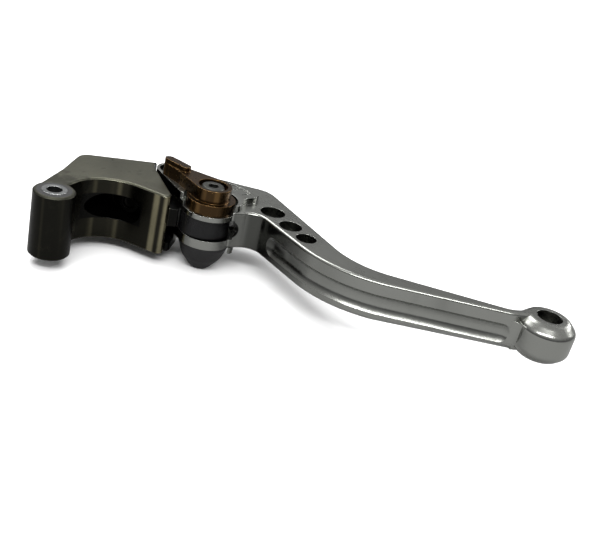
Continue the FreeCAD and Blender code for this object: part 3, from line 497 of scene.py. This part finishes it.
class LEVER_OT_adapter(bpy.types.Operator):
    """Olive champagne adapter with painted shade and painted reflection streaks on its sides, painted
    highlights on its edges, grease round the pivot, and painted shade past the slanted face and in the pocket
    """

    bl_idname = "lever.adapter"
    bl_label = "Finish the adapter"

    def execute(self, context):
        settings = context.scene.lever_adapter_finish
        material, tree, shader = new_material("adapter_champagne_aluminium")
        grain = tree.group(shared("machined_grain"), Line_scale=900.0, Stretch=(1.0, 0.25, 1.0))
        streaks = tree.group(shared("upright_streaks"), Scale=120.0, Width=0.62)
        edges = tree.group(shared("softened_edges_highlight"), Radius=0.0004)
        grime = tree.group(shared("dirt"), Reach=GREASE_REACH, Amount=settings.grime, Scale=220.0)
        grease_and_shade = opaque(settings.grease_and_shade)
        # painted reflections: faint streaks and two bright bands on the upright faces, over painted shade
        faint = tree.math("MULTIPLY", streaks.outputs["Streak"], FAINT_STREAKS)
        amount = tree.math("MAXIMUM", faint, self.bright_bands(tree))
        side = tree.mix(amount, opaque(settings.side), opaque(settings.streak))
        top = mottled(tree, grain, settings.metal, amount=0.25, gain=0.7)
        body = tree.mix(streaks.outputs["Upright"], top, side)
        # painted highlight along the edges
        mottle_and_edge_highlight = tree.mix(edges.outputs["Edge"], body, tinted(settings.metal, gain=2.2))
        # painted shade past the slanted face and in the push-rod pocket, in the grease colour
        painted_shade = tree.math("MAXIMUM", self.behind_slant(tree), self.in_pocket(tree))
        with_painted_shade = tree.mix(painted_shade, mottle_and_edge_highlight, grease_and_shade)
        tree.put(shader.inputs["Base Color"], tree.mix(grime.outputs["Dirt"], with_painted_shade, grease_and_shade))
        greasy = tree.math("MULTIPLY", grime.outputs["Dirt"], GREASE_ROUGHNESS)
        smoother = tree.math("MULTIPLY", streaks.outputs["Upright"], SIDE_ROUGHNESS["adapter"])
        change = tree.fold("ADD", grain.outputs["Roughness change"], greasy, smoother)
        tree.put(shader.inputs["Roughness"], rough(tree, settings.roughness, change))
        tree.put(shader.inputs["Normal"], edges.outputs["Normal"])
        finish(material, "perch_adapter")
        return {"FINISHED"}

    def bright_bands(self, tree):
        """Painted reflections on two bands of the upright sides, a narrow one and the nose."""
        place = tree.axes()
        shine_soft, nose_soft, end_soft = BAND_SOFT
        shine = tree.within(place["X"], SHINE_X, SHINE_HALF, shine_soft)
        nose = tree.ramp(place["X"], NOSE_X, NOSE_X + nose_soft)
        front = tree.within(place["Y"], 0.0, NOSE_Y, end_soft)
        return tree.fold("MULTIPLY", tree.math("MAXIMUM", shine, nose), front, BRIGHT_BANDS)

    def behind_slant(self, tree):
        """1 past the slanted face that looks at the blade, where the metal is painted dark as shade."""
        place = tree.axes()
        along = tree.math("ADD", place["X"], place["Y"])
        limit = HINGE_AXIS.x + HINGE_AXIS.y - SLANT_SETBACK
        return tree.ramp(along, limit, limit + SLANT_SOFT)

    def in_pocket(self, tree):
        """1 on the walls of the push-rod pocket, where the metal is painted dark as shade."""
        low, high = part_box("pushrod_cup")
        middle = Vector(((low.x + high.x) / 2, high.y - POCKET_HALF_SIZE[1], (low.z + high.z) / 2))
        place = tree.axes()
        inside = [
            tree.within(place[axis], centre, half)
            for axis, centre, half in zip("XYZ", middle, POCKET_HALF_SIZE)
        ]
        return tree.fold("MULTIPLY", *inside)


class LEVER_OT_adjuster(bpy.types.Operator):
    """Bronze anodised dial, black cam and black cap"""

    bl_idname = "lever.adjuster"
    bl_label = "Finish the adjuster"

    def execute(self, context):
        settings = context.scene.lever_adjuster_finish
        finish(self.bronze(settings), "adjuster_dial")
        # the high edge gains paint highlights along the black edges of the cap and the cam
        cap = simple_metal("cap_black_anodised", settings.black, 0.42, edge_gain=4.0, metallic=0.0)
        finish(cap, "cap_nut")
        cam = simple_metal("cam_black_oxide", settings.black, 0.30, edge_gain=6.0, metallic=0.4)
        finish(cam, "reach_cam")
        return {"FINISHED"}

    def bronze(self, settings):
        """Brown anodising with painted golden reflection streaks down the sides and painted golden highlights
        on the edges.
        """
        material, tree, shader = new_material("dial_bronze_anodised")
        grain = tree.group(shared("machined_grain"), Line_scale=500.0, Stretch=(1.0, 1.0, 0.1))
        streaks = tree.group(shared("upright_streaks"), Scale=210.0, Width=0.66)
        edges = tree.group(shared("softened_edges_highlight"), Radius=0.0003)
        # painted golden reflection streaks on the upright faces, then painted golden highlights along the
        # edges
        amount = tree.fold("MULTIPLY", streaks.outputs["Upright"], streaks.outputs["Streak"], DIAL_STREAKS)
        body = tree.mix(amount, opaque(settings.bronze), opaque(settings.gold))
        tree.put(shader.inputs["Base Color"], tree.mix(edges.outputs["Edge"], body, opaque(settings.gold)))
        tree.put(
            shader.inputs["Roughness"], rough(tree, settings.roughness, grain.outputs["Roughness change"])
        )
        tree.put(shader.inputs["Normal"], edges.outputs["Normal"])
        return material


class LEVER_OT_hardware(bpy.types.Operator):
    """Screws, nut, bearings, springs, washers, seals and detent"""

    bl_idname = "lever.hardware"
    bl_label = "Finish the hardware"

    def execute(self, context):
        settings = context.scene.lever_hardware_finish
        plain = (
            ("screw_zinc_plate", settings.screw, 0.34, ("hinge_bolt", "adjuster_bolt", "hinge_nut")),
            ("ground_steel", settings.steel, 0.22, ("pivot_sleeve", "hinge_bush", "drive_pins")),
            # the cup's near-black colour is painted shade from the pocket
            ("cup_dark_steel", settings.cup, 0.42, ("pushrod_cup",)),
            ("bearing_bronze_metal", settings.bearing, 0.34, ("pivot_liner", "hinge_shims", "thrust_washer")),
            ("copper_washer_metal", settings.copper, 0.28, ("dial_washer",)),
            ("spring_wire_steel", settings.spring, 0.32, ("return_spring", "index_spring", "detent_spring")),
            ("ball_polished_steel", settings.steel, 0.10, ("detent_ball",)),
        )
        for name, rgb, roughness, pieces in plain:
            finish(simple_metal(name, rgb, roughness), *pieces)
        seal = simple_metal("seal_black_rubber", settings.rubber, 0.62, edge_gain=2.0, metallic=0.0)
        finish(seal, "pivot_seals")
        return {"FINISHED"}


class LEVER_OT_stage(bpy.types.Operator):
    """Pale floor, soft light and camera"""

    bl_idname = "lever.stage"
    bl_label = "Set the stage"

    def execute(self, context):
        settings = context.scene.lever_stage
        low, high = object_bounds()
        middle = (low + high) / 2
        self.floor(settings, low.z)
        self.surroundings(context.scene, settings)
        self.lights(settings, middle)
        self.camera(context.scene, settings, middle)
        context.scene.view_settings.view_transform = "Standard"
        return {"FINISHED"}

    def floor(self, settings, level):
        """A pale floor that looks darker in the metal's reflections."""
        bpy.ops.mesh.primitive_plane_add(size=FLOOR_SIZE, location=(0.0, 0.0, level - FLOOR_GAP))
        plane = bpy.context.object
        plane.name = "studio_floor"
        material = bpy.data.materials.new("floor_pale")
        material.use_nodes = True
        tree = Tree(material.node_tree)
        nodes = material.node_tree.nodes
        pale = nodes["Principled BSDF"]
        pale.inputs["Base Color"].default_value = opaque(settings.floor)
        pale.inputs["Roughness"].default_value = 1.0
        pale.inputs["Specular IOR Level"].default_value = 0.0
        dim = tree.add("ShaderNodeBsdfDiffuse", {"Color": tinted(settings.floor, FLOOR_REFLECTED)})
        glossy_ray = tree.add("ShaderNodeLightPath").outputs["Is Glossy Ray"]
        shown = tree.add("ShaderNodeMixShader", {0: glossy_ray, 1: pale.outputs[0], 2: dim})
        tree.put(nodes["Material Output"].inputs["Surface"], shown)
        plane.data.materials.append(material)
        plane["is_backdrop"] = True

    def surroundings(self, scene, settings):
        """Brighter overhead than at the horizon, and plain white to the camera."""
        world = bpy.data.worlds.new("studio_surroundings")
        world.use_nodes = True
        tree = Tree(world.node_tree)
        up = tree.add("ShaderNodeSeparateXYZ", {0: tree.add("ShaderNodeTexCoord").outputs["Generated"]})
        tone = tree.mix(tree.ramp(up.outputs["Z"], 0.0, FULL_BRIGHT_HEIGHT), HORIZON, ZENITH)
        seen = tree.add("ShaderNodeLightPath").outputs["Is Camera Ray"]
        tone = tree.mix(seen, tone, opaque([1.0 / settings.world] * 3))
        background = world.node_tree.nodes["Background"]
        tree.put(background.inputs["Color"], tone)
        background.inputs["Strength"].default_value = settings.world
        scene.world = world

    def lights(self, settings, middle):
        """Softboxes round the lever (name, offset, width, depth, share of the key's power) and a soft sky."""
        softboxes = (
            ("key_softbox", (-0.35, 0.25, 0.60), 0.45, 0.30, 1.0),
            ("rim_softbox", (0.45, 0.55, 0.30), 0.50, 0.10, 0.55),
            ("front_strip", (0.14, -0.42, 0.52), 0.60, 0.10, 1.30),
        )
        for name, offset, width, depth, power in softboxes:
            lamp = bpy.data.lights.new(name, "AREA")
            lamp.shape = "RECTANGLE"
            lamp.size, lamp.size_y = width, depth
            lamp.energy = settings.key * power
            holder = bpy.data.objects.new(name, lamp)
            holder.location = middle + Vector(offset)
            holder.rotation_mode = "QUATERNION"
            holder.rotation_quaternion = Vector(offset).to_track_quat("Z", "Y")
            bpy.context.scene.collection.objects.link(holder)
        sun = bpy.data.lights.new("sky_fill", "SUN")
        sun.energy, sun.angle = SKY_POWER, SKY_SPREAD
        holder = bpy.data.objects.new("sky_fill", sun)
        holder.visible_glossy = False
        bpy.context.scene.collection.objects.link(holder)

    def camera(self, scene, settings, middle):
        """A camera that looks at the lever's middle, rolled about its own view."""
        a, e = settings.azimuth, settings.elevation
        back = Vector((math.sin(a) * math.cos(e), -math.cos(a) * math.cos(e), math.sin(e)))
        camera = bpy.data.objects.new("studio_camera", bpy.data.cameras.new("studio_camera"))
        camera.data.lens = settings.lens
        camera.data.clip_start, camera.data.clip_end = 0.01, 50.0
        camera.location = middle + back * settings.distance
        camera.rotation_mode = "QUATERNION"
        level = (-back).to_track_quat("-Z", "Y")
        camera.rotation_quaternion = Quaternion(back, settings.roll) @ level
        scene.collection.objects.link(camera)
        scene.camera = camera


class LEVER_PT_sidebar(bpy.types.Panel):
    """Lists the lever's finishes and its stage"""

    bl_idname = "LEVER_PT_sidebar"
    bl_label = "Brake lever"
    bl_space_type = "VIEW_3D"
    bl_region_type = "UI"
    bl_category = "Lever"

    def draw(self, context):
        for operator, group in zip(OPERATORS, SETTINGS):
            box = self.layout.box()
            settings = getattr(context.scene, group)
            for name in settings.bl_rna.properties.keys():
                if name not in {"rna_type", "name"}:
                    box.prop(settings, name)
            box.operator(operator.bl_idname)


OPERATORS = (LEVER_OT_blade, LEVER_OT_adapter, LEVER_OT_adjuster, LEVER_OT_hardware, LEVER_OT_stage)
CLASSES = (*SETTINGS.values(), *OPERATORS, LEVER_PT_sidebar)


def register():
    for cls in CLASSES:
        bpy.utils.register_class(cls)
    for name, group in SETTINGS.items():
        setattr(bpy.types.Scene, name, PointerProperty(type=group))


def unregister():
    for name in SETTINGS:
        delattr(bpy.types.Scene, name)
    for cls in reversed(CLASSES):
        bpy.utils.unregister_class(cls)


def main():
    register()
    for operator in OPERATORS:
        area, name = operator.bl_idname.split(".")
        getattr(getattr(bpy.ops, area), name)()


if __name__ == "__main__":
    main()
